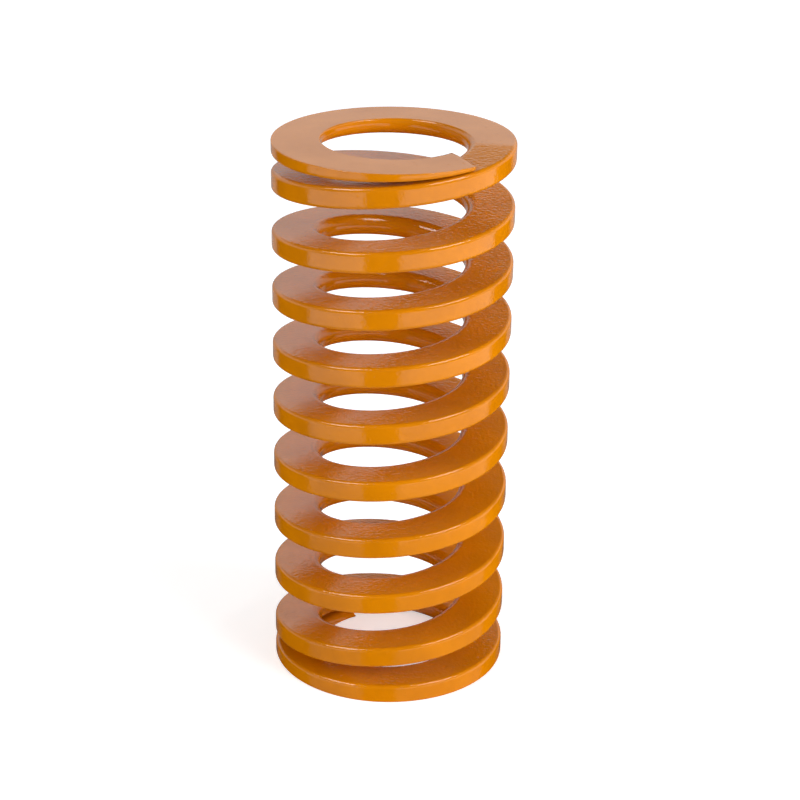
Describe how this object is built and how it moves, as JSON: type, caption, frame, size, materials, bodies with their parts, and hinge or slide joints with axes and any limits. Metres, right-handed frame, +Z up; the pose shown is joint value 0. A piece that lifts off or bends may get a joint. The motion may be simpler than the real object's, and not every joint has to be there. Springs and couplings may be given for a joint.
{
  "type": "die spring",
  "caption": "Compression spring coiled from flat wire, with closed ground ends, for a guide rod or a round pocket.",
  "frame": {"origin": "centre of the lower ground end, on the coil's axis", "axes": "+Z up the coil's axis to the upper ground end; +X and +Y lie in the lower ground end's plane"},
  "size_m": [0.03, 0.03, 0.07],
  "materials": {
    "coil_enamel": "gloss orange enamel on spring steel"
  },
  "bodies": {
    "root": {"spring_coil": "coil_enamel"}
  },
  "joints": []
}
